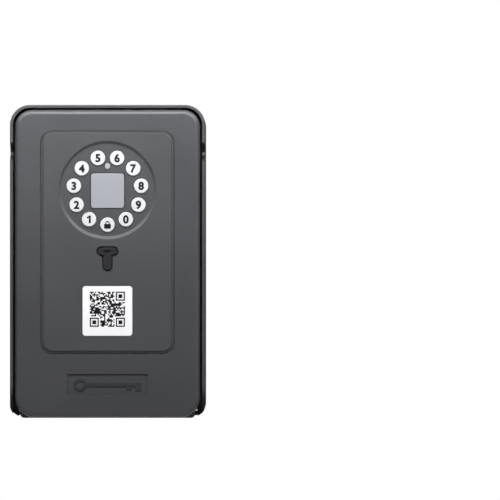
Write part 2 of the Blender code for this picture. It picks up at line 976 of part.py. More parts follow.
def fingerprint():
    levels = (
        (1.1 * MM, 0.35 * MM),
        (1.25 * MM, 0.1 * MM),
        (1.5 * MM, 0),
        (KEY_BACK, 0),
        (KEY_BACK, -1.2 * MM),
        (KEY_BACK + 0.8 * MM, -1.2 * MM),
    )
    rings = [
        [(x, inward(t), z) for x, z in window_outline(inset)] for t, inset in levels
    ]
    paint(solid("fingerprint_window", rings, PARTS), LOOKS["window"])
    half = WINDOW_W / 2 - 1.5 * MM
    sensor = along_y(
        "fingerprint_sensor",
        box(-half, half, PAD_Z - half, PAD_Z + half),
        inward(KEY_BACK + 1.1 * MM),
        inward(BOARD_IN - GAP),
        PARTS,
    )
    paint(sensor, LOOKS["dark_plastic"])


def status_light():
    profile = (
        (LIGHT_R - 0.3 * MM, inward(DISH_DEPTH - 0.25 * MM)),
        (LIGHT_R, inward(DISH_DEPTH)),
        (LIGHT_R, inward(BOARD_IN - GAP)),
    )
    light = turned(
        "status_light", profile, "y", (0, 0, DISH_Z + LIGHT_RISE), PARTS
    )
    return paint(light, LOOKS["light_pipe"])


def front_board():
    top = min(DISH_Z + 30 * MM, CAVITY_TOP - 1 * MM)
    board = along_y(
        "front_board",
        round_box(-30 * MM, 30 * MM, PORT_Z - 8 * MM, top, 2 * MM, steps=3),
        inward(BOARD_IN),
        inward(BOARD_IN + BOARD_T),
        PARTS,
    )
    reach = KEY_BACK + 0.8 * MM + KEY_TRAVEL + GAP
    for name, x, z in key_places():
        switch = along_y(
            f"{name}_switch",
            circle(x, z, 2.6 * MM, 12),
            inward(reach),
            inward(BOARD_IN + 0.5 * MM),
            CUTTERS,
        )
        join(board, switch)
    return paint(board, LOOKS["board"])


def usb_port():
    port = along_y(
        "usb_port",
        round_box(
            -4.47 * MM,
            4.47 * MM,
            PORT_Z - 1.63 * MM,
            PORT_Z + 1.63 * MM,
            1.5 * MM,
            steps=4,
        ),
        inward(2.6 * MM),
        inward(BOARD_IN - GAP),
        PARTS,
    )
    mouth = along_y(
        "usb_mouth",
        round_box(
            -4.17 * MM,
            4.17 * MM,
            PORT_Z - 1.28 * MM,
            PORT_Z + 1.28 * MM,
            1.2 * MM,
            steps=4,
        ),
        inward(1 * MM),
        inward(BOARD_IN - 1.2 * MM),
        CUTTERS,
    )
    tongue = along_y(
        "usb_tongue",
        box(-3.2 * MM, 3.2 * MM, PORT_Z - 0.35 * MM, PORT_Z + 0.35 * MM),
        inward(3.2 * MM),
        inward(BOARD_IN - 0.8 * MM),
        CUTTERS,
    )
    cut(port, mouth)
    join(port, tongue)
    return paint(port, LOOKS["steel"])


def code_label():
    half = LABEL / 2
    label = along_y(
        "code_label",
        round_box(-half, half, LABEL_Z - half, LABEL_Z + half, LABEL_R, steps=4),
        inward(-0.15 * MM),
        inward(0.15 * MM),
        PARTS,
    )
    return paint(label, LOOKS["paper"])


def main_board():
    z0 = TRAY_Z + 30 * MM
    z1 = PINION_Z - 16 * MM
    board = along_y(
        "main_board",
        box(-36 * MM, 36 * MM, z0, z1),
        inward(11 * MM),
        inward(12.6 * MM),
        PARTS,
    )
    chips = (
        (-28, -12, 0.62, 0.92, 2.6),
        (2, 14, 0.55, 0.75, 1.5),
        (20, 30, 0.15, 0.5, 6.0),
        (-24, -14, 0.12, 0.34, 3.0),
    )
    for i, (x0, x1, low, high, rise) in enumerate(chips):
        chip = along_y(
            f"chip_{i}",
            box(x0 * MM, x1 * MM, z0 + low * (z1 - z0), z0 + high * (z1 - z0)),
            inward(12 * MM),
            inward((12.6 + rise) * MM),
            CUTTERS,
        )
        join(board, chip)
    return paint(board, LOOKS["board"])


def rack_teeth(z_start, count):
    """(y, z) points down the toothed face of the bolt, tips towards the door's front."""
    pitch = pi * RACK_MODULE
    tip = BOLT_IN
    root = BOLT_IN + 1.5 * RACK_MODULE
    line = BOLT_IN + 0.65 * RACK_MODULE
    half = 0.21 * pitch
    slope = tan(radians(20))
    points = []
    for i in range(count):
        z = z_start - i * pitch
        at_tip = half - (line - tip) * slope
        at_root = half + (root - line) * slope
        points.append((inward(root), z + at_root))
        points.append((inward(tip), z + at_tip))
        points.append((inward(tip), z - at_tip))
        points.append((inward(root), z - at_root))
    return points


def latch_bolt():
    """The bolt with its rack, withdrawn level with the top of the door's housing."""
    tip = HOUSING_TOP - 0.2 * MM
    end = PINION_Z - 11.5 * MM
    teeth = rack_teeth(PINION_Z + pi * RACK_MODULE, 6)
    outline = [
        (inward(BOLT_OUT), tip),
        (inward(BOLT_IN + 1.2 * MM), tip),
        (inward(BOLT_IN), tip - 1.2 * MM),
        (inward(BOLT_IN), teeth[0][1] + 1.6 * MM),
        (inward(BOLT_IN + 1.5 * RACK_MODULE), teeth[0][1] + 1.2 * MM),
        *teeth,
        (inward(BOLT_IN + 1.5 * RACK_MODULE), end),
        (inward(BOLT_OUT), end),
    ]
    origin = (0, inward((BOLT_IN + BOLT_OUT) / 2), tip)
    bolt = along_x("latch_bolt", outline, -BOLT_W / 2, BOLT_W / 2, PARTS, origin)
    return paint(bolt, LOOKS["steel"])


def pinion_outline(y, z):
    """Involute teeth, thinned for play, with a tooth gap facing the rack at rest."""
    base = PITCH_R * cos(radians(20))
    outer = PITCH_R + 0.65 * RACK_MODULE
    root = PITCH_R - 0.95 * RACK_MODULE
    involute_at_pitch = tan(radians(20)) - radians(20)
    half = 0.42 * pi / PINION_TEETH + involute_at_pitch
    flank = []
    for i in range(4):
        r = max(base, root) + (outer - max(base, root)) * i / 3
        turn = acos(min(base / r, 1))
        flank.append((r, half - (tan(turn) - turn)))
    points = []
    for tooth in range(PINION_TEETH):
        middle = 2 * pi * (tooth + 0.5) / PINION_TEETH
        points.append((root, middle - flank[0][1] - 0.02))
        points += [(r, middle - a) for r, a in flank]
        points += [(r, middle + a) for r, a in reversed(flank)]
        points.append((root, middle + flank[0][1] + 0.02))
    return [(y + r * cos(a), z + r * sin(a)) for r, a in points]


def drive():
    y = inward(PINION_IN)
    origin = (0, y, PINION_Z)
    pinion = along_x(
        "drive_pinion",
        pinion_outline(y, PINION_Z),
        -4.5 * MM,
        4.5 * MM,
        PARTS,
        origin,
    )
    bore = turned(
        "pinion_bore",
        ((1.8 * MM, -6 * MM), (1.8 * MM, 6 * MM)),
        "x",
        origin,
        CUTTERS,
        steps=12,
    )
    cut(pinion, bore)
    paint(pinion, LOOKS["brass"])
    start = BOLT_W / 2 + GAP
    motor = turned(
        "gear_motor",
        (
            (1.5 * MM, -3.5 * MM),
            (1.5 * MM, start - 0.5 * MM),
            (3.0 * MM, start - 0.5 * MM),
            (3.0 * MM, start),
            (4.9 * MM, start),
            (4.9 * MM, start + 25 * MM),
            (2.0 * MM, start + 25 * MM),
            (2.0 * MM, start + 26.5 * MM),
        ),
        "x",
        origin,
        PARTS,
    )
    gearbox = along_x(
        "gearbox",
        box(
            y - 4.95 * MM, y + 4.95 * MM, PINION_Z - 6 * MM, PINION_Z + 6 * MM
        ),
        start + 0.2 * MM,
        start + 9.3 * MM,
        CUTTERS,
    )
    join(motor, gearbox)
    paint(motor, LOOKS["steel"])


def bolt_guide():
    guide = along_z(
        "bolt_guide",
        box(-BOLT_W / 2 - 5 * MM, BOLT_W / 2 + 5 * MM, inward(11 * MM), inward(COVER_IN - GAP)),
        PINION_Z + 8.5 * MM,
        CAVITY_TOP - GAP,
        PARTS,
    )
    way = along_z(
        "guide_way",
        box(
            -BOLT_W / 2 - GAP,
            BOLT_W / 2 + GAP,
            inward(BOLT_IN - GAP),
            inward(COVER_IN + 2 * MM),
        ),
        PINION_Z,
        CAVITY_TOP + 3 * MM,
        CUTTERS,
    )
    cut(guide, way)
    return paint(guide, LOOKS["dark_plastic"])


def power():
    span = 2 * CELL_PITCH
    half = CELL_L / 2
    tray_half = span + 2.6 * MM
    well_half = span + 1.0 * MM
    tray = along_y(
        "battery_tray",
        box(-tray_half, tray_half, TRAY_Z - half - 4.8 * MM, TRAY_Z + half + 3.2 * MM),
        inward(CELL_IN - CELL_R - 1.6 * MM),
        inward(COVER_IN - GAP),
        PARTS,
    )
    well = along_y(
        "tray_well",
        box(-well_half, well_half, TRAY_Z - half - 3.3 * MM, TRAY_Z + half + 1.7 * MM),
        inward(CELL_IN - CELL_R - GAP),
        inward(COVER_IN + 2 * MM),
        CUTTERS,
    )
    cut(tray, well)
    paint(tray, LOOKS["dark_plastic"])
    for i in range(4):
        way = 1 if i % 2 else -1
        x = (i - 1.5) * CELL_PITCH
        cell = turned(
            f"battery_{i + 1}",
            (
                (CELL_R - 0.6 * MM, -way * half),
                (CELL_R, -way * (half - 0.6 * MM)),
                (CELL_R, way * (half - 1.6 * MM)),
                (CELL_R - 0.6 * MM, way * (half - 1.0 * MM)),
                (1.9 * MM, way * (half - 1.0 * MM)),
                (1.9 * MM, way * half),
            ),
            "z",
            (x, inward(CELL_IN), TRAY_Z),
            PARTS,
            steps=16,
        )
        paint(cell, LOOKS["cell"])
    low = TRAY_Z - half - 3.0 * MM
    high = TRAY_Z + half + GAP
    strips = (
        ("contact_top_1", 0, 1, high, high + 1.1 * MM),
        ("contact_top_2", 2, 3, high, high + 1.1 * MM),
        ("contact_bottom_1", 0, 0, low, low + 2.7 * MM),
        ("contact_bottom_2", 1, 2, low, low + 2.7 * MM),
        ("contact_bottom_3", 3, 3, low, low + 2.7 * MM),
    )
    for name, first, last, z0, z1 in strips:
        x0 = (first - 1.5) * CELL_PITCH - CELL_R + 0.4 * MM
        x1 = (last - 1.5) * CELL_PITCH + CELL_R - 0.4 * MM
        strip = along_z(
            name,
            box(x0, x1, inward(CELL_IN - 4 * MM), inward(CELL_IN + 4 * MM)),
            z0 if z0 == low else z0 + 0.6 * MM,
            z0 + 0.5 * MM if z0 == low else z1,
            PARTS,
        )
        for i in range(first, last + 1):
            x = (i - 1.5) * CELL_PITCH
            if z0 == low:
                profile = ((2.8 * MM, low + 0.2 * MM), (1.4 * MM, z1))
            else:
                profile = ((1.4 * MM, z0), (2.2 * MM, z0 + 0.8 * MM))
            tip = turned(
                f"{name}_tip_{i}",
                profile,
                "z",
                (x, inward(CELL_IN), 0),
                CUTTERS,
                steps=12,
            )
            join(strip, tip)
        paint(strip, LOOKS["brass"])


def lid_outline(inset):
    half = CELL_L / 2
    span = 2 * CELL_PITCH + 1.6 * MM
    return shrunk_box(
        -span,
        span,
        TRAY_Z - half - 3.5 * MM,
        TRAY_Z + half + 2.0 * MM,
        2 * MM,
        2 * MM,
        inset,
        4,
    )


def inner_cover():
    cover = along_y(
        "inner_cover",
        round_box(
            -CAVITY_HALF + GAP,
            CAVITY_HALF - GAP,
            COVER_Z0 + GAP,
            CAVITY_TOP - GAP,
            2.7 * MM,
            3.7 * MM,
        ),
        inward(COVER_IN),
        inward(COVER_IN + COVER_T),
        PARTS,
    )
    way = along_y(
        "lid_way",
        lid_outline(0),
        inward(COVER_IN - 1 * MM),
        inward(COVER_IN + COVER_T + 1 * MM),
        CUTTERS,
    )
    cut(cover, way)
    seat = COVER_IN + COVER_T - 1.2 * MM
    for i, (x, z) in enumerate(cover_screws()):
        hole = turned(
            f"cover_hole_{i}",
            (
                (1.6 * MM, inward(COVER_IN - 1 * MM)),
                (1.6 * MM, inward(seat)),
                (3.1 * MM, inward(seat + 0.01 * MM)),
                (3.1 * MM, inward(seat + 4 * MM)),
            ),
            "y",
            (x, 0, z),
            CUTTERS,
            steps=12,
        )
        cut(cover, hole)
        pan_screw(f"cover_screw_{i + 1}", (x, inward(seat), z), "y", 8.5 * MM, -1)
    paint(cover, LOOKS["dark_plastic"])
    lid = along_y(
        "battery_lid",
        lid_outline(GAP),
        inward(COVER_IN + GAP),
        inward(COVER_IN + COVER_T),
        PARTS,
        (0, inward(COVER_IN + COVER_T), TRAY_Z),
    )
    grip = along_y(
        "lid_grip",
        round_box(
            -8 * MM,
            8 * MM,
            TRAY_Z + CELL_L / 2 - 6 * MM,
            TRAY_Z + CELL_L / 2 - 3 * MM,
            1.2 * MM,
            steps=3,
        ),
        inward(COVER_IN + COVER_T - 0.8 * MM),
        inward(COVER_IN + COVER_T + 1 * MM),
        CUTTERS,
    )
    cut(lid, grip)
    paint(lid, LOOKS["dark_plastic"])


clear_scene()
PARTS = collection("key_box")
CUTTERS = collection("cutters", helper=True)
LOOKS = {
    "case_paint": look("case_paint", (0.09, 0.09, 0.10), 0.3, 0.45),
    "door_paint": look("door_paint", (0.10, 0.10, 0.115), 0.3, 0.42),
    "panel_plastic": look("panel_plastic", (0.095, 0.095, 0.108), 0.0, 0.5),
    "key_plastic": look("key_plastic", (0.9, 0.9, 0.92), 0.0, 0.35),
    "window": look("window", (0.46, 0.47, 0.54), 0.0, 0.3),
    "light_pipe": look("light_pipe", (0.6, 0.61, 0.63), 0.0, 0.25),
    "rubber": look("rubber", (0.025, 0.025, 0.028), 0.0, 0.85),
    "paper": look("paper", (0.85, 0.85, 0.86), 0.0, 0.7),
    "steel": look("steel", (0.6, 0.6, 0.6), 0.9, 0.35),
    "brass": look("brass", (0.75, 0.58, 0.3), 0.9, 0.35),
    "board": look("board", (0.02, 0.16, 0.07), 0.0, 0.5),
    "dark_plastic": look("dark_plastic", (0.03, 0.03, 0.035), 0.0, 0.65),
    "cell": look("cell", (0.35, 0.30, 0.12), 0.5, 0.4),
}

back_case()
strike_plate()
key_rail()
hinge_pin()
case_seal()
door_shell()
centre_panel()
port_cover()
keys()
fingerprint()
status_light()
front_board()
usb_port()
code_label()
main_board()
latch_bolt()
drive()
bolt_guide()
power()
inner_cover()
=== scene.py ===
"""Looks of the keypad key box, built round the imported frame.

Metres, +Z up, the front faces -Y. Sizes that the frame doesn't hold are named below.
"""

import json
import random
from math import cos, pi, radians, sin

import bmesh
import bpy
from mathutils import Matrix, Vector


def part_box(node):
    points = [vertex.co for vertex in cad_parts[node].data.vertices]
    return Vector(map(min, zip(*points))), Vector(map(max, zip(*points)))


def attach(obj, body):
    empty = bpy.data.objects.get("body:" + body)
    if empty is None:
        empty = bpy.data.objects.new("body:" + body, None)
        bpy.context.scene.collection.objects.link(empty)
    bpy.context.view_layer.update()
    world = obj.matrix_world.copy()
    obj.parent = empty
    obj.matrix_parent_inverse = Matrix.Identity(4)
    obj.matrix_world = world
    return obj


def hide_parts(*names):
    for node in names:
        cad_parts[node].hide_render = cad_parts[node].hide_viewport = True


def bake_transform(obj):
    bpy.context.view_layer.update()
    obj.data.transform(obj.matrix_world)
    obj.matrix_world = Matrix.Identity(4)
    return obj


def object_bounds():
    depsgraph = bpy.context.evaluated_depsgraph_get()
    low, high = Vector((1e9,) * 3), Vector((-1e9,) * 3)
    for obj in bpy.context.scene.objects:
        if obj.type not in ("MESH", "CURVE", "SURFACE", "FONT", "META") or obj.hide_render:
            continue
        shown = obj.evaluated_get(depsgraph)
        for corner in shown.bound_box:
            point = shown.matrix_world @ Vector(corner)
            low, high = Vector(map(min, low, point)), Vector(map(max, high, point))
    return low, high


MM = 0.001
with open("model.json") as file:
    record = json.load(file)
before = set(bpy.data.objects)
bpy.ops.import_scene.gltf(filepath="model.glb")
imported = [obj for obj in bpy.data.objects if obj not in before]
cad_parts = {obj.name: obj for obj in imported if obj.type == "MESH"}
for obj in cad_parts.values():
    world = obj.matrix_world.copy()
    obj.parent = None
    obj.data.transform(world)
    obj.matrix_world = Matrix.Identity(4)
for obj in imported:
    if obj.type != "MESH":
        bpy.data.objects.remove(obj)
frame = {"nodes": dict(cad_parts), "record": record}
CAD_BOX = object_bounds()
NODES = frame["nodes"]

# Levels of the frame
WIDTH = CAD_BOX[1][0] - CAD_BOX[0][0]
TOP = CAD_BOX[1][2]
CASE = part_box("back_case")
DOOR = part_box("door_shell")
FRONT = DOOR[0][1]
DOOR_TOP = DOOR[1][2]
DOOR_LOW = DOOR[0][2]
DOOR_HALF = DOOR[1][0]
DOOR_BACK = DOOR[1][1]
LIP = 10 * MM  # thickness of the door's full-size front part
FRONT_WALL = 2.5 * MM
HINGE_R = 5 * MM
HINGE_IN = 21 * MM  # from the door's front to the hinge axis
RIM = 1.8 * MM
SIDE_WALL = 4.6 * MM
HOUSING_HALF = 52 * MM
RIM_FRONT = CASE[0][1]
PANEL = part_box("centre_panel")
PANEL_FLANGE = 2.5 * MM
PANEL_GROOVE = 1.7 * MM
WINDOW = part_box("fingerprint_window")
WINDOW_FLANGE = 1.2 * MM
PAD_Z = (WINDOW[0][2] + WINDOW[1][2]) / 2
DISH_Z = PAD_Z + 0.5 * MM
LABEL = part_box("code_label")
LABEL_Z = (LABEL[0][2] + LABEL[1][2]) / 2
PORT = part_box("port_cover")
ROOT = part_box("port_cover_root")
PORT_HEAD_R = 2.2 * MM
PORT_HEAD_Z = PORT[1][2] - PORT_HEAD_R
PORT_STEM = ROOT[1][0]
PORT_GAP = 0.8 * MM
PLATE_Z = DOOR_LOW + 19.8 * MM
SCOOP_Z = DISH_Z + 22.8 * MM
SCOOP_DEPTH = 5.5 * MM
DISH_DEPTH = 1.4 * MM
KEY_R = 4.35 * MM
KEY_FLANGE = 0.8 * MM
INK_T = 0.02 * MM  # half the thickness of the digits
GAP = 0.3 * MM
SMOOTH_BELOW = radians(38)  # edges sharper than this are rounded and kept sharp
KEY_NAMES = ["lock", "1", "2", "3", "4", "5", "6", "7", "8", "9", "0"]


# Materials


def material(name, colour, rough, metallic=0.0, grain=0.0, scale=900.0, bump=0.0, **more):
    """A Principled surface: fine grain in its colour and bump, broad changes in its gloss."""
    made = bpy.data.materials.new(name)
    made.use_nodes = True
    nodes, links = made.node_tree.nodes, made.node_tree.links
    shader = nodes["Principled BSDF"]
    shader.inputs["Metallic"].default_value = metallic
    for socket, value in more.items():
        shader.inputs[socket.replace("_", " ")].default_value = value
    place = nodes.new("ShaderNodeTexCoord")
    fine = nodes.new("ShaderNodeTexNoise")
    fine.inputs["Scale"].default_value = scale
    fine.inputs["Detail"].default_value = 4
    broad = nodes.new("ShaderNodeTexNoise")
    broad.inputs["Scale"].default_value = 28
    broad.inputs["Detail"].default_value = 3
    for texture in (fine, broad):
        links.new(place.outputs["Object"], texture.inputs["Vector"])
    tint = nodes.new("ShaderNodeMixRGB")
    tint.inputs[1].default_value = (*[c * (1 - grain) for c in colour], 1)
    tint.inputs[2].default_value = (*[c * (1 + grain) for c in colour], 1)
    place.name = "place"
    tint.name = "tint"
    links.new(fine.outputs["Fac"], tint.inputs[0])
    links.new(tint.outputs[0], shader.inputs["Base Color"])
    gloss = nodes.new("ShaderNodeMapRange")
    gloss.inputs["From Min"].default_value = 0.3
    gloss.inputs["From Max"].default_value = 0.7
    gloss.inputs["To Min"].default_value = rough * 0.9
    gloss.inputs["To Max"].default_value = min(rough * 1.12, 1)
    links.new(broad.outputs["Fac"], gloss.inputs["Value"])
    links.new(gloss.outputs["Result"], shader.inputs["Roughness"])
    if bump:
        relief = nodes.new("ShaderNodeBump")
        relief.inputs["Strength"].default_value = bump
        relief.inputs["Distance"].default_value = 0.05 * MM
        links.new(fine.outputs["Fac"], relief.inputs["Height"])
        links.new(relief.outputs["Normal"], shader.inputs["Normal"])
    return made


def painted_shade_zones(made, zones):
    """Paints shade: blackens a coat in soft-edged boxes, lists of (axis, value outside, value
    inside).
    """
    nodes, links = made.node_tree.nodes, made.node_tree.links
    split = nodes.new("ShaderNodeSeparateXYZ")
    links.new(nodes["place"].outputs["Object"], split.inputs[0])
    side = nodes.new("ShaderNodeMath")
    side.operation = "ABSOLUTE"
    links.new(split.outputs["X"], side.inputs[0])
    sources = {"side": side.outputs[0], "y": split.outputs["Y"], "z": split.outputs["Z"]}

    def joined(operation, first, second):
        step = nodes.new("ShaderNodeMath")
        step.operation = operation
        links.new(first, step.inputs[0])
        links.new(second, step.inputs[1])
        return step.outputs[0]

    shade_mask = None
    for zone in zones:
        amount = None
        for axis, outside, inside in zone:
            ramp = nodes.new("ShaderNodeMapRange")
            ramp.interpolation_type = "SMOOTHSTEP"
            ramp.inputs["From Min"].default_value = outside
            ramp.inputs["From Max"].default_value = inside
            links.new(sources[axis], ramp.inputs["Value"])
            result = ramp.outputs["Result"]
            amount = result if amount is None else joined("MULTIPLY", amount, result)
        shade_mask = amount if shade_mask is None else joined("MAXIMUM", shade_mask, amount)
    # Near-black painted shade, mixed into the coat where the boxes reach.
    blend = nodes.new("ShaderNodeMixRGB")
    blend.inputs[2].default_value = (0.006, 0.006, 0.007, 1)
    links.new(shade_mask, blend.inputs[0])
    links.new(nodes["tint"].outputs[0], blend.inputs[1])
    links.new(blend.outputs[0], nodes["Principled BSDF"].inputs["Base Color"])


LOOK = {
    "case": material("case_coat", (0.060, 0.060, 0.063), 0.42, 0.2, 0.10, 1500, 0.25),
    "door": material("door_coat", (0.060, 0.061, 0.066), 0.42, 0.2, 0.08, 1500, 0.22),
    "panel": material("panel_coat", (0.052, 0.053, 0.057), 0.45, 0.0, 0.05, 2200, 0.18),
    "key": material("key_cap", (0.53, 0.535, 0.553), 0.42, 0.0, 0.015, 1400, 0.08),
    "ink": material("ink", (0.005, 0.005, 0.006), 0.7, 0.0, 0.1, Specular_IOR_Level=0.15),
    "window": material("window_glass", (0.268, 0.274, 0.303), 0.36, 0.0, 0.015, 800, 0.03),
    "light": material("light_pipe", (0.305, 0.31, 0.325), 0.3, 0.0, 0.02, 800, 0.03),
    "rubber": material(
        "cover_rubber", (0.012, 0.0125, 0.014), 0.8, 0.0, 0.15, 1800, 0.4, Specular_IOR_Level=0.3
    ),
    "seal": material("seal_rubber", (0.015, 0.015, 0.016), 0.8, 0.0, 0.15, 1800, 0.4),
    "label": material("label_film", (0.78, 0.78, 0.79), 0.5, 0.0, 0.01, 1000, 0.05),
    "steel": material("steel", (0.55, 0.55, 0.56), 0.34, 1.0, 0.08, 1300, 0.15),
    "screw": material("screw_steel", (0.42, 0.42, 0.43), 0.3, 1.0, 0.08, 1300, 0.1),
    "lid": material("lid_plastic", (0.022, 0.022, 0.024), 0.5, 0.0, 0.12, 1600, 0.35),
    "sign": material("sign_coat", (0.028, 0.029, 0.032), 0.5, 0.1, 0.08, 1500, 0.2),
    "zinc": material("zinc", (0.62, 0.62, 0.6), 0.4, 1.0, 0.12, 700, 0.2),
    "brass": material("brass", (0.72, 0.55, 0.27), 0.33, 1.0, 0.08, 1300, 0.1),
    "board": material("board", (0.02, 0.13, 0.06), 0.4, 0.0, 0.2, 500, 0.1),
    "inner": material("inner_plastic", (0.035, 0.036, 0.038), 0.55, 0.0, 0.12, 1600, 0.35),
    "cell": material("cell_wrap", (0.05, 0.09, 0.05), 0.35, 0.1, 0.06, 800, 0.05),
    "floor": material("floor", (0.86, 0.86, 0.86), 0.8, 0.0, 0.01, 30),
}
# Painted shade: the rim's front and the shoulder inside it fade to black at the bottom corners,
# and the floors of the two finger scoops are blackened, where shade falls.
painted_shade_zones(
    LOOK["case"],
    (
        (("z", -72 * MM, -83 * MM), ("y", RIM_FRONT + 3.2 * MM, RIM_FRONT + 2.2 * MM)),
        (
            ("z", -72 * MM, -83 * MM),
            ("side", 56.6 * MM, 56.2 * MM),
            ("y", -16 * MM, -24 * MM),
        ),
        (
            ("z", SCOOP_Z - 6.4 * MM, SCOOP_Z - 4.2 * MM),
            ("z", SCOOP_Z + 6.4 * MM, SCOOP_Z + 4.2 * MM),
            ("y", RIM_FRONT + 6.4 * MM, RIM_FRONT + 5.6 * MM),
        ),
    ),
)
# Painted shade: the door's housing behind its full-size front part is blackened, where it lies
# in shadow.
painted_shade_zones(LOOK["door"], ((("y", FRONT + LIP - 0.7 * MM, FRONT + LIP),),))


# Shapes


def circle(u, v, r, steps=48):
    return [
        (u + r * cos(2 * pi * i / steps), v + r * sin(2 * pi * i / steps))
        for i in range(steps)
    ]


def box(u0, u1, v0, v1):
    return [(u0, v0), (u1, v0), (u1, v1), (u0, v1)]


def round_box(u0, u1, v0, v1, r_low, r_high=None, inset=0.0, steps=12):
    r_high = r_low if r_high is None else r_high
    u0, u1, v0, v1 = u0 + inset, u1 - inset, v0 + inset, v1 - inset
    low, high = max(r_low - inset, 0.05 * MM), max(r_high - inset, 0.05 * MM)
    corners = (
        (u1 - low, v0 + low, low, -90),
        (u1 - high, v1 - high, high, 0),
        (u0 + high, v1 - high, high, 90),
        (u0 + low, v0 + low, low, 180),
    )
    points = []
    for u, v, r, start in corners:
        for i in range(steps + 1):
            turn = radians(start + 90 * i / steps)
            points.append((u + r * cos(turn), v + r * sin(turn)))
    return points


def body(name, rings):
    mesh = bpy.data.meshes.new(name)
    work = bmesh.new()
    rows = [[work.verts.new(p) for p in ring] for ring in rings]
    for low, high in zip(rows, rows[1:]):
        for i in range(len(low)):
            j = (i + 1) % len(low)
            work.faces.new((low[i], low[j], high[j], high[i]))
    work.faces.new(rows[0])
    work.faces.new(rows[-1])
    bmesh.ops.recalc_face_normals(work, faces=work.faces)
    work.to_mesh(mesh)
    work.free()
    made = bpy.data.objects.new(name, mesh)
    bpy.context.scene.collection.objects.link(made)
    return made


def along_y(name, outline, y0, y1):
    return body(name, [[(x, y, z) for x, z in outline] for y in (y0, y1)])


def along_x(name, outline, x0, x1):
    return body(name, [[(x, y, z) for y, z in outline] for x in (x0, x1)])


def along_z(name, outline, z0, z1):
    return body(name, [[(x, y, z) for x, y in outline] for z in (z0, z1)])


def turned(name, profile, axis, centre, steps=48):
    rings = []
    for r, s in profile:
        ring = []
        for u, v in circle(0, 0, r, steps):
            offset = {"x": (s, u, v), "y": (u, s, v), "z": (u, v, s)}[axis]
            ring.append([centre[i] + offset[i] for i in range(3)])
        rings.append(ring)
    return body(name, rings)


def apply(target):
    graph = bpy.context.evaluated_depsgraph_get()
    mesh = bpy.data.meshes.new_from_object(target.evaluated_get(graph))
    target.modifiers.clear()
    target.data = mesh
    return target


def change(target, others, operation="DIFFERENCE"):
    """Cuts the others from the target, or joins them to it, and removes them."""
    for other in others:
        step = target.modifiers.new("step", "BOOLEAN")
        step.operation = operation
        step.solver = "EXACT"
        step.object = other
    apply(target)
    for other in others:
        bpy.data.objects.remove(other)
    return target


def dress(target, look, ride, edge=0.0, replaces=()):
    """Rounds the sharp edges, smooths the shading and hands the piece to its body."""
    mesh = target.data
    work = bmesh.new()
    work.from_mesh(mesh)
    bmesh.ops.remove_doubles(work, verts=work.verts, dist=1e-6)
    bmesh.ops.dissolve_limit(
        work, angle_limit=radians(0.5), verts=work.verts, edges=work.edges
    )
    work.to_mesh(mesh)
    work.free()
    if edge:
        rounder = target.modifiers.new("edges", "BEVEL")
        rounder.width = edge
        rounder.segments = 2
        rounder.limit_method = "ANGLE"
        rounder.angle_limit = SMOOTH_BELOW
        rounder.use_clamp_overlap = True
        rounder.miter_outer = "MITER_ARC"
        apply(target)
    finish_surface(target, look)
    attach(target, ride)
    if replaces:
        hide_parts(*replaces)
    return target


def finish_surface(target, look):
    """Gives the piece its material, smooth faces and sharp edges, with even normals."""
    mesh = target.data
    mesh.materials.clear()
    mesh.materials.append(LOOK[look])
    work = bmesh.new()
    work.from_mesh(mesh)
    for face in work.faces:
        face.smooth = True
        face.material_index = 0
    for side in work.edges:
        side.smooth = len(side.link_faces) == 2 and side.calc_face_angle(0) < SMOOTH_BELOW
    work.to_mesh(mesh)
    work.free()
    even = target.modifiers.new("normals", "WEIGHTED_NORMAL")
    even.keep_sharp = True
    even.weight = 80
    apply(target)


def refine(node, look, edge, cutters=()):
    """A finished copy of a CAD node: its own shape with rounded edges and a real surface."""
    made = bpy.data.objects.new(f"{node}_piece", NODES[node].data.copy())
    bpy.context.scene.collection.objects.link(made)
    if cutters:
        change(made, cutters)
    return dress(made, look, owner(node), edge, (node,))


def owner(node):
    for name, members in frame["record"]["behaviour"]["bodies"].items():
        if node in members:
            return name
    raise KeyError(node)


# Case


def rim_levels(rim_front, depth=0.7 * MM):
    """(y, inset) pairs from the rim's rounded front edge to the case's rounded back edge."""
    levels = []
    for a in (20, 45, 70, 90):
        turn = radians(a)
        levels.append((rim_front + depth * (1 - cos(turn)), depth * (1 - sin(turn))))
    for a in (0, 30, 60, 80):
        turn = radians(a)
        levels.append((-1.2 * MM * (1 - sin(turn)), 1.0 * MM * (1 - cos(turn))))
    return levels


def scoop():
    outline = [(RIM_FRONT - 2 * MM, SCOOP_Z - 6.2 * MM)]
    for i in range(17):
        s = i / 16
        reach = SCOOP_DEPTH * sin(pi * s) ** 0.7
        outline.append((RIM_FRONT + reach, SCOOP_Z + (s - 0.5) * 10.4 * MM))
    outline.append((RIM_FRONT - 2 * MM, SCOOP_Z + 6.2 * MM))
    return along_x("scoop", outline, -WIDTH, WIDTH)


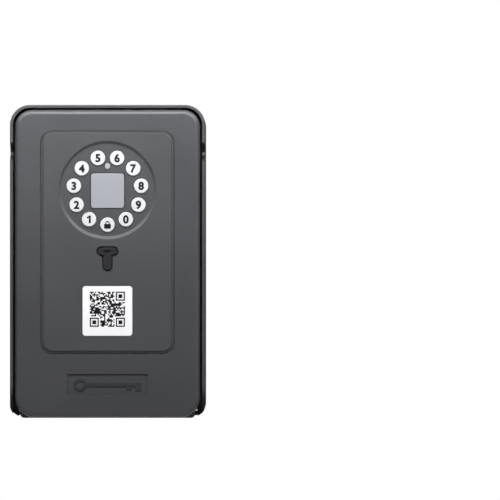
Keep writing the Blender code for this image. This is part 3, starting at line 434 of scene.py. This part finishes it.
def back_case():
    low, top = CASE[0][2], CASE[1][2]
    half = CASE[1][0]
    rim, wall = RIM, SIDE_WALL
    r_top, r_low = 12 * MM, 7 * MM
    rings = []
    for y, inset in rim_levels(RIM_FRONT):
        outline = round_box(-half, half, low, top, r_low, r_top, inset, 16)
        rings.append([(x, y, z) for x, z in outline])
    case = body("back_case_piece", rings)
    far = RIM_FRONT - 5 * MM
    below = low - 20 * MM
    bottom = low + 2.5 * MM
    door_room = round_box(rim - half, half - rim, below, top - rim, MM, r_top - rim, 0, 16)
    housing_room = round_box(wall - half, half - wall, below, top - wall, MM, 6 * MM)
    key_room = round_box(wall - half, half - wall, bottom, top - wall, 4 * MM, 6 * MM)
    cutters = [
        along_y("door_room", door_room, far, FRONT + LIP + 1.5 * MM),
        along_y("housing_room", housing_room, far, DOOR_BACK + 0.7 * MM),
        along_y("key_room", key_room, far, -2.5 * MM),
        scoop(),
    ]
    hole = ((2.4 * MM, 1 * MM), (2.4 * MM, -1.5 * MM), (4.4 * MM, -3.5 * MM))
    pin_hole = 1.75 * MM
    for x in (-1, 1):
        for z in (-1, 1):
            place = (x * (WIDTH / 2 - 20 * MM), 0, z * (TOP - 22 * MM))
            cutters.append(turned("fixing_hole", hole, "y", place))
        place = (x * (half - wall - 3.9 * MM), FRONT + HINGE_IN, DOOR_LOW + HINGE_R)
        cutters.append(turned("pin_hole", ((pin_hole, 0), (pin_hole, x * 6 * MM)), "x", place))
    change(case, cutters)
    dress(case, "case", "case", 0.25 * MM, ("back_case",))


# Door


def door_shell():
    fillet = 3 * MM
    low_corner, top_corner = 12 * MM, 10 * MM
    rings = []
    for i in range(11):
        a = radians(90 * i / 10)
        inset = fillet * (1 - sin(a))
        outline = round_box(
            -DOOR_HALF, DOOR_HALF, DOOR_LOW, DOOR_TOP, low_corner, top_corner, inset, 16
        )
        rings.append([(x, FRONT + fillet * (1 - cos(a)), z) for x, z in outline])
    rings.append([(p[0], FRONT + LIP, p[2]) for p in rings[-1]])
    shell = body("door_shell_piece", rings)
    half = HOUSING_HALF
    back = round_box(-half, half, DOOR_LOW, DOOR_TOP - 10 * MM, 2.4 * MM, 6 * MM)
    housing = along_y("housing", back, FRONT + FRONT_WALL + MM, DOOR_BACK)
    change(shell, [housing], "UNION")
    axis_y, axis_z = FRONT + HINGE_IN, DOOR_LOW + HINGE_R
    knuckle = [(DOOR_BACK + 2 * MM, axis_z)]
    for i in range(13):
        a = radians(-90 * i / 12)
        knuckle.append((axis_y + HINGE_R * cos(a), axis_z + HINGE_R * sin(a)))
    knuckle.append((axis_y, DOOR_LOW - 2 * MM))
    knuckle.append((DOOR_BACK + 2 * MM, DOOR_LOW - 2 * MM))
    inner = HOUSING_HALF - 2 * MM
    cavity = round_box(
        -inner, inner, DOOR_LOW + 2 * HINGE_R, DOOR_TOP - 12 * MM, 3 * MM, 4 * MM
    )
    flange_room = panel_outline(-PANEL_GROOVE - PANEL_FLANGE - GAP)
    plate = round_box(-23.9 * MM, 23.9 * MM, PLATE_Z - 6.4 * MM, PLATE_Z + 6.4 * MM, 0.8 * MM)
    bolt_way = box(-6.3 * MM, 6.3 * MM, FRONT + 18.2 * MM, FRONT + 23.5 * MM)
    cutters = [
        along_y("cavity", cavity, FRONT + FRONT_WALL, 0),
        along_y("flange_room", flange_room, FRONT + FRONT_WALL, FRONT + 4.8 * MM),
        along_y("opening", panel_outline(-PANEL_GROOVE), FRONT - MM, FRONT + 3.5 * MM),
        along_y("plate", plate, FRONT - MM, FRONT + 0.7 * MM),
        along_z("bolt_way", bolt_way, DOOR_TOP - 14 * MM, DOOR_TOP - 9 * MM),
        along_x("pin_way", circle(axis_y, axis_z, 1.8 * MM), -WIDTH, WIDTH),
        along_x("knuckle", knuckle, -WIDTH, WIDTH),
    ]
    change(shell, cutters)
    dress(shell, "door", "door", 0.3 * MM, ("door_shell",))


def sign():
    """A plain key in low relief, where the real box has its nameplate."""
    y0, y1 = FRONT + 0.26 * MM, FRONT + 0.8 * MM
    end, bit = 20 * MM, 3.8 * MM
    bow_x, bar, tooth = bit - end, 1.15 * MM, 2.4 * MM
    bow = along_y("nameplate_key", circle(bow_x, PLATE_Z, bit), y0, y1)
    steps = (
        (bow_x + 0.85 * bit, -bar),
        (end - 3.6 * tooth, -bar),
        (end - 3.6 * tooth, -0.85 * bit),
        (end - 2.6 * tooth, -0.85 * bit),
        (end - 2.6 * tooth, -bar),
        (end - 1.4 * tooth, -bar),
        (end - 1.4 * tooth, -bit),
        (end, -bit),
        (end, bar),
        (bow_x + 0.85 * bit, bar),
    )
    shaft = along_y("shaft", [(x, PLATE_Z + z) for x, z in steps], y0, y1)
    change(bow, [shaft], "UNION")
    eye = along_y("eye", circle(bow_x, PLATE_Z, 0.54 * bit), y0 - MM, y1 + MM)
    change(bow, [eye])
    dress(bow, "sign", "door", 0.14 * MM, ())


# Panel


def panel_outline(inset):
    """The outline of the raised panel. The CAD box also takes in the groove and the flange."""
    edge = PANEL_FLANGE + PANEL_GROOVE
    r = 5.3 * MM
    return round_box(
        PANEL[0][0] + edge,
        PANEL[1][0] - edge,
        PANEL[0][2] + edge,
        PANEL[1][2] - edge,
        r,
        r,
        inset,
        14,
    )


def arc(u, v, r, start, turn, steps):
    points = []
    for i in range(steps + 1):
        a = radians(start + turn * i / steps)
        points.append((u + r * cos(a), v + r * sin(a)))
    return points


def port_outline(grow):
    """The T of the port cover, grown all round."""
    r = PORT_HEAD_R + grow
    head_u = PORT[1][0] - PORT_HEAD_R
    stem = PORT_STEM + grow
    under = PORT_HEAD_Z - r
    fillet = 0.8 * MM
    points = arc(head_u, PORT_HEAD_Z, r, 90, -180, 16)
    points += arc(stem + fillet, under - fillet, fillet, 90, 90, 4)
    points += arc(0, ROOT[0][2] + PORT_STEM, stem, 0, -180, 20)
    points += arc(-stem - fillet, under - fillet, fillet, 0, 90, 4)
    points += arc(-head_u, PORT_HEAD_Z, r, 270, -180, 16)
    return points


def key_place(name):
    lo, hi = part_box(f"key_{name}")
    return (lo[0] + hi[0]) / 2, lo[1], (lo[2] + hi[2]) / 2


def centre_panel():
    profile = (
        (0, 0.45),
        (0.05, 0.22),
        (0.16, 0.07),
        (0.32, 0),
        (0.5, -0.05),
        (0.68, -0.2),
        (0.78, -0.5),
        (0.8, -0.9),
        (0.8, -1.2),
        (0.86, -1.35),
        (1.0, -1.4),
        (3.2, -1.4),
    )
    top = PANEL[1][2] - PANEL_FLANGE - PANEL_GROOVE
    rings = []
    for t, inset in profile:
        ring = []
        for x, z in panel_outline(inset * MM):
            near_top = min(max((z - top + 5 * MM) / (5 * MM), 0), 1)
            ease = 1 - 0.97 * near_top if t < 2 else 1
            ring.append((x, FRONT + t * ease * MM, z))
        rings.append(ring)
    panel = body("centre_panel_piece", rings)
    flange = panel_outline(-PANEL_GROOVE - PANEL_FLANGE)
    change(panel, [along_y("flange", flange, FRONT + 2.8 * MM, PANEL[1][1])], "UNION")
    inner, wall = 27.35 * MM, 2.05 * MM
    dish = [(inner - 0.15 * MM, FRONT + DISH_DEPTH)]
    for i in range(9):
        s = i / 8
        rise = s * s * (3 - 2 * s) * (DISH_DEPTH + 0.02 * MM)
        dish.append((inner + wall * s, FRONT + DISH_DEPTH - rise))
    dish.append((inner + wall + 0.1 * MM, FRONT - MM))
    cutters = [turned("dish", dish, "y", (0, 0, DISH_Z), 128)]
    front, back = FRONT - MM, PANEL[1][1] + MM
    for name in KEY_NAMES:
        x, _, z = key_place(name)
        cutters.append(along_y("key_hole", circle(x, z, KEY_R + GAP), front, back))
    label = 15.1 * MM
    label_recess = round_box(-label, label, LABEL_Z - label, LABEL_Z + label, 2.1 * MM)
    port = round_box(
        -4.9 * MM, 4.9 * MM, PORT_HEAD_Z - 2.1 * MM, PORT_HEAD_Z + 2.1 * MM, 2.0 * MM
    )
    light = circle(0, DISH_Z + 14.1 * MM, 2.1 * MM)
    cutters += [
        along_y("window_hole", window_outline(-0.45 * MM), front, back),
        along_y("light_hole", light, front, back),
        along_y("label_recess", label_recess, front, FRONT + 0.45 * MM),
        along_y("port_recess", port_outline(PORT_GAP), front, FRONT + 1.6 * MM),
        along_y("port_way", port, front, back),
    ]
    change(panel, cutters)
    dress(panel, "panel", "door", 0.12 * MM, ("centre_panel",))


def port_cover():
    """One rubber piece, with seven loops cut across its neck."""
    rings = []
    for t, e in ((0.0, 0.55), (0.06, 0.3), (0.2, 0.1), (0.45, 0), (1.1, 0), (1.3, 0.15)):
        rings.append([(x, FRONT + t * MM, z) for x, z in port_outline(-e * MM)])
    cover = body("port_cover_piece", rings)
    head_z = PORT_HEAD_Z
    hinge_z = ROOT[1][2] + 0.15 * MM
    stalk_z = ROOT[0][2] + 1.3 * MM
    plug = round_box(-3.8 * MM, 3.8 * MM, head_z - MM, head_z + MM, 0.9 * MM)
    slot = round_box(-2.15 * MM, 2.15 * MM, head_z - 0.6 * MM, head_z + 0.6 * MM, 0.5 * MM)
    added = [
        along_y("plug", plug, FRONT + 1.0 * MM, FRONT + 2.3 * MM),
        along_y("stalk", circle(0, stalk_z, 1.0 * MM, 24), FRONT + 1.0 * MM, ROOT[1][1]),
    ]
    change(cover, added, "UNION")
    change(cover, [along_y("slot", slot, FRONT - MM, FRONT + 0.7 * MM)])
    mesh = cover.data
    work = bmesh.new()
    work.from_mesh(mesh)
    for i in range(7):
        z = hinge_z - 0.9 * MM + 1.8 * MM * i / 6
        geometry = work.verts[:] + work.edges[:] + work.faces[:]
        bmesh.ops.bisect_plane(work, geom=geometry, plane_co=(0, 0, z), plane_no=(0, 0, 1))
    work.to_mesh(mesh)
    work.free()
    finish_surface(cover, "rubber")
    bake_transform(cover)
    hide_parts("port_cover", "port_cover_root")


# Keys


def thicken(work, amount):
    """Moves the outline of an extruded sign outwards, so that its strokes grow bolder."""
    moves = {}
    for vert in work.verts:
        sides = []
        for face in vert.link_faces:
            flat = abs(face.normal.z) < 0.5
            if flat and not any((face.normal - other).length < 0.05 for other in sides):
                sides.append(face.normal.copy())
        if sides:
            way = sum(sides, Vector())
            if way.length > 0.1:
                way.normalize()
                moves[vert] = way * (amount / max(way.dot(sides[0]), 0.6))
    for vert, move in moves.items():
        vert.co += move


def digit(name, height, x, y, z):
    """A number, bold, centred on its key."""
    curve = bpy.data.curves.new(name, "FONT")
    curve.body = name
    curve.size = height / 0.71
    curve.extrude = INK_T
    holder = bpy.data.objects.new(name, curve)
    bpy.context.scene.collection.objects.link(holder)
    graph = bpy.context.evaluated_depsgraph_get()
    mesh = bpy.data.meshes.new_from_object(holder.evaluated_get(graph))
    bpy.data.objects.remove(holder)
    work = bmesh.new()
    work.from_mesh(mesh)
    bmesh.ops.remove_doubles(work, verts=work.verts, dist=1e-6)
    bmesh.ops.recalc_face_normals(work, faces=work.faces)
    work.normal_update()
    thicken(work, 0.29 * MM)
    spans = [[v.co[i] for v in work.verts] for i in (0, 1)]
    middle = [(min(span) + max(span)) / 2 for span in spans]
    for v in work.verts:
        v.co = (x + v.co[0] - middle[0], y - v.co[2], z + v.co[1] - middle[1])
    work.to_mesh(mesh)
    work.free()
    made = bpy.data.objects.new(f"digit_{name}", mesh)
    bpy.context.scene.collection.objects.link(made)
    return made


def one(x, y, z):
    """The number 1, with a flag, which the built-in font leaves out."""
    points = (
        (-0.15, -2.3),
        (1.0, -2.3),
        (1.0, 2.3),
        (0.15, 2.3),
        (-1.3, 1.45),
        (-1.3, 0.45),
        (-0.15, 1.0),
    )
    outline = [(x + u * MM, z + v * MM) for u, v in points]
    return along_y("digit_1", outline, y - INK_T, y + INK_T)


def padlock(x, y, z):
    block = along_y(
        "padlock_mark",
        round_box(x - 2 * MM, x + 2 * MM, z - 2.3 * MM, z + 0.5 * MM, 0.35 * MM),
        y - INK_T,
        y + INK_T,
    )
    centre = z + 0.95 * MM
    outer = arc(x, centre, 1.3 * MM, 0, 180, 16)
    inner = arc(x, centre, 0.7 * MM, 180, -180, 16)
    outline = [(x + 1.3 * MM, z), *outer, (x - 1.3 * MM, z)]
    outline += [(x - 0.7 * MM, z), *inner, (x + 0.7 * MM, z)]
    bow = along_y("bow", outline, y - INK_T, y + INK_T)
    return change(block, [bow], "UNION")


def keys():
    edge = 0.5 * MM
    for name in KEY_NAMES:
        node = f"key_{name}"
        x, face, z = key_place(name)
        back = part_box(node)[1][1]
        profile = [(2.2 * MM, face)]
        for a in range(0, 91, 15):
            turn = radians(a)
            profile.append((KEY_R - edge * (1 - sin(turn)), face + edge * (1 - cos(turn))))
        flange = KEY_R + KEY_FLANGE
        profile += [(KEY_R, back - 0.8 * MM), (flange, back - 0.8 * MM), (flange, back)]
        cap = turned(f"{node}_piece", profile, "y", (x, 0, z), 64)
        dress(cap, "key", node, 0, (node,))
        ink = face - 0.01 * MM
        if name == "lock":
            mark = padlock(x, ink, z)
        elif name == "1":
            mark = one(x, ink, z)
        else:
            mark = digit(name, 4.5 * MM, x, ink, z)
        dress(mark, "ink", node, 0, ())


# Window, light, label


def window_outline(inset):
    edge = WINDOW_FLANGE
    return round_box(
        WINDOW[0][0] + edge,
        WINDOW[1][0] - edge,
        WINDOW[0][2] + edge,
        WINDOW[1][2] - edge,
        1.8 * MM,
        None,
        inset,
    )


def front_details():
    rings = []
    y = WINDOW[0][1]
    for t, e in ((0, 0.6), (0.03, 0.35), (0.12, 0.12), (0.35, 0)):
        rings.append([(x, y + t * MM, z) for x, z in window_outline(e * MM)])
    rings.append([(p[0], WINDOW[1][1], p[2]) for p in rings[-1]])
    glass = body("fingerprint_window_piece", rings)
    dress(glass, "window", "door", 0, ("fingerprint_window",))
    lo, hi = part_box("status_light")
    x, z = (lo[0] + hi[0]) / 2, (lo[2] + hi[2]) / 2
    r = hi[0] - x
    profile = [(0.5 * r, lo[1])]
    for a in range(0, 91, 18):
        turn = radians(a)
        fall = 0.05 * MM + 0.3 * MM * (1 - cos(turn))
        profile.append((r - 0.35 * MM * (1 - sin(turn)), lo[1] + fall))
    profile.append((r, hi[1]))
    lamp = turned("status_light_piece", profile, "y", (x, 0, z))
    dress(lamp, "light", "door", 0, ("status_light",))
    half = LABEL[1][0]
    outline = round_box(-half, half, LABEL_Z - half, LABEL_Z + half, 1.8 * MM)
    label = along_y("code_label_piece", outline, LABEL[0][1] + 0.03 * MM, LABEL[1][1])
    dress(label, "label", "door", 0.06 * MM, ("code_label",))
    code()


def code():
    """A made-up block pattern in the style of a square code, which encodes nothing."""
    count, size = 27, 20.9 * MM
    cell = size / count
    chance = random.Random(41)
    dark = [[chance.random() < 0.66 for _ in range(count)] for _ in range(count)]
    for row, column in ((0, count - 7), (count - 7, 0), (count - 7, count - 7)):
        for i in range(-1, 8):
            for j in range(-1, 8):
                r, c = row + i, column + j
                if 0 <= r < count and 0 <= c < count:
                    ring = max(abs(i - 3), abs(j - 3))
                    dark[r][c] = ring in (0, 1, 3)
    work = bmesh.new()
    left, top = -size / 2 - 0.05 * MM, LABEL_Z + 1.0 * MM + size / 2
    y = LABEL[0][1] + 0.01 * MM
    for r in range(count):
        c = 0
        while c < count:
            if not dark[r][c]:
                c += 1
                continue
            start = c
            while c < count and dark[r][c]:
                c += 1
            u0, u1 = left + start * cell, left + c * cell
            v0, v1 = top - (r + 1) * cell, top - r * cell
            corners = [(u0, v0), (u1, v0), (u1, v1), (u0, v1)]
            near = [work.verts.new((u, y, v)) for u, v in corners]
            deep = [work.verts.new((u, y + 0.04 * MM, v)) for u, v in corners]
            work.faces.new(near)
            work.faces.new(deep[::-1])
            for i in range(4):
                j = (i + 1) % 4
                work.faces.new((near[j], near[i], deep[i], deep[j]))
    mesh = bpy.data.meshes.new("code_blocks")
    work.to_mesh(mesh)
    work.free()
    mesh.materials.append(LOOK["ink"])
    made = bpy.data.objects.new("code_blocks", mesh)
    bpy.context.scene.collection.objects.link(made)
    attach(made, "door")


def cross(node):
    """Two thin bars across a screw's head, which lies on the side its name tells."""
    lo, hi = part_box(node)
    middle = [(lo[i] + hi[i]) / 2 for i in range(3)]
    long, thin, deep = 1.55 * MM, 0.33 * MM, 0.75 * MM
    bars = []
    for u, v in ((long, thin), (thin, long)):
        if node.startswith("strike"):
            outline = box(middle[0] - u, middle[0] + u, middle[1] - v, middle[1] + v)
            bars.append(along_z("bar", outline, lo[2] - MM, lo[2] + deep))
            continue
        outline = box(middle[0] - u, middle[0] + u, middle[2] - v, middle[2] + v)
        if node.startswith("rail"):
            bars.append(along_y("bar", outline, lo[1] - MM, lo[1] + deep))
        else:
            bars.append(along_y("bar", outline, hi[1] - deep, hi[1] + MM))
    return bars


def cover_vents():
    """Slots and a channel in the inner cover's outer face."""
    lo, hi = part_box("inner_cover")
    y0, y1 = hi[1] - 0.7 * MM, hi[1] + MM
    cutters = []
    for i in range(7):
        x = (i - 3) * 4.5 * MM
        slot = round_box(x - 0.8 * MM, x + 0.8 * MM, 38 * MM, 56 * MM, 0.8 * MM)
        cutters.append(along_y("vent", slot, y0, y1))
    inset = 4.5 * MM
    outer = round_box(lo[0], hi[0], lo[2], hi[2], 4 * MM, None, inset)
    inner = round_box(lo[0], hi[0], lo[2], hi[2], 4 * MM, None, inset + 1.2 * MM)
    channel = along_y("channel", outer, y1 - 1.5 * MM, y1)
    change(channel, [along_y("island", inner, y0 - 3 * MM, y1 + MM)])
    return [*cutters, channel]


def other_nodes():
    looks = {
        "strike_plate": "zinc",
        "key_rail": "zinc",
        "hinge_pin": "steel",
        "case_seal": "seal",
        "front_board": "board",
        "main_board": "board",
        "gear_motor": "steel",
        "bolt_guide": "inner",
        "fingerprint_sensor": "inner",
        "usb_port": "steel",
        "battery_tray": "inner",
        "battery_lid": "lid",
        "inner_cover": "inner",
        "latch_bolt": "steel",
        "drive_pinion": "brass",
    }
    for node in NODES:
        if "screw" in node:
            looks[node] = "screw"
        elif node.startswith("contact_"):
            looks[node] = "brass"
        elif node.startswith("battery_") and node[8:].isdigit():
            looks[node] = "cell"
    for node, look in looks.items():
        edge = 0 if node in ("case_seal", "drive_pinion") else 0.12 * MM
        cutters = cross(node) if "screw" in node else ()
        if node == "inner_cover":
            cutters = cover_vents()
        refine(node, look, edge, cutters)


# Stage


def area(name, place, aim, size, power, size_y=None):
    lamp = bpy.data.lights.new(name, "AREA")
    lamp.shape = "RECTANGLE"
    lamp.size = size
    lamp.size_y = size_y or size
    lamp.energy = power
    made = bpy.data.objects.new(name, lamp)
    made.location = place
    direction = [aim[i] - place[i] for i in range(3)]
    made.rotation_mode = "QUATERNION"
    made.rotation_quaternion = Vector(direction).to_track_quat("-Z", "Y")
    bpy.context.scene.collection.objects.link(made)


def stage():
    half, level = 2.2, -0.8
    outline = box(-half, half, -half, half)
    floor = along_z("floor", outline, level - 0.02, level)
    floor.data.materials.append(LOOK["floor"])
    world = bpy.data.worlds.new("studio")
    bpy.context.scene.world = world
    world.use_nodes = True
    nodes, links = world.node_tree.nodes, world.node_tree.links
    out = nodes["World Output"]
    soft = nodes["Background"]
    soft.inputs["Color"].default_value = (0.97, 0.98, 1.0, 1)
    place = nodes.new("ShaderNodeTexCoord")
    split = nodes.new("ShaderNodeSeparateXYZ")
    links.new(place.outputs["Generated"], split.inputs[0])
    up = nodes.new("ShaderNodeMapRange")
    up.inputs["From Min"].default_value = 0.0
    up.inputs["From Max"].default_value = 1.0
    up.inputs["To Min"].default_value = 0.03
    up.inputs["To Max"].default_value = 0.3
    links.new(split.outputs["Z"], up.inputs["Value"])
    links.new(up.outputs["Result"], soft.inputs["Strength"])
    white = nodes.new("ShaderNodeBackground")
    white.inputs["Color"].default_value = (1, 1, 1, 1)
    white.inputs["Strength"].default_value = 1.0
    path = nodes.new("ShaderNodeLightPath")
    mix = nodes.new("ShaderNodeMixShader")
    links.new(path.outputs["Is Camera Ray"], mix.inputs[0])
    links.new(soft.outputs[0], mix.inputs[1])
    links.new(white.outputs[0], mix.inputs[2])
    links.new(mix.outputs[0], out.inputs["Surface"])
    area("key_light", (0.0, -0.25, 0.29), (0, 0, 0.12), 0.46, 2.85, 0.22)
    area("side_left", (-0.9, -0.75, 0.3), (0, 0, 0), 0.5, 1.1)
    area("side_right", (0.9, -0.75, 0.3), (0, 0, 0), 0.5, 2.0)
    area("corner_left", (-0.42, -0.10, 0.44), (0, -0.05, 0.05), 0.16, 0.8)
    area("corner_right", (0.42, -0.10, 0.44), (0, -0.05, 0.05), 0.16, 1.2)
    area("back_light", (0.3, 1.9, 1.6), (0, 0, -0.3), 2.0, 55.0)
    area("floor_light", (0, -2.2, 2.6), (0, -0.6, -0.8), 1.4, 9.0)
    scene = bpy.context.scene
    scene.view_settings.view_transform = "Standard"
    lens, sensor = 300.0, 36.0
    view_width = 0.2967  # metres across the picture, at the door's front
    distance = lens / sensor * view_width
    camera = bpy.data.cameras.new("camera")
    camera.lens = lens
    camera.sensor_width = sensor
    camera.clip_start = 0.05
    camera.clip_end = 30
    made = bpy.data.objects.new("camera", camera)
    made.location = (0.0846, FRONT - distance, 0.00676)
    made.rotation_euler = (radians(90), 0, 0)
    scene.collection.objects.link(made)
    scene.camera = made


back_case()
door_shell()
sign()
centre_panel()
port_cover()
keys()
front_details()
other_nodes()
stage()
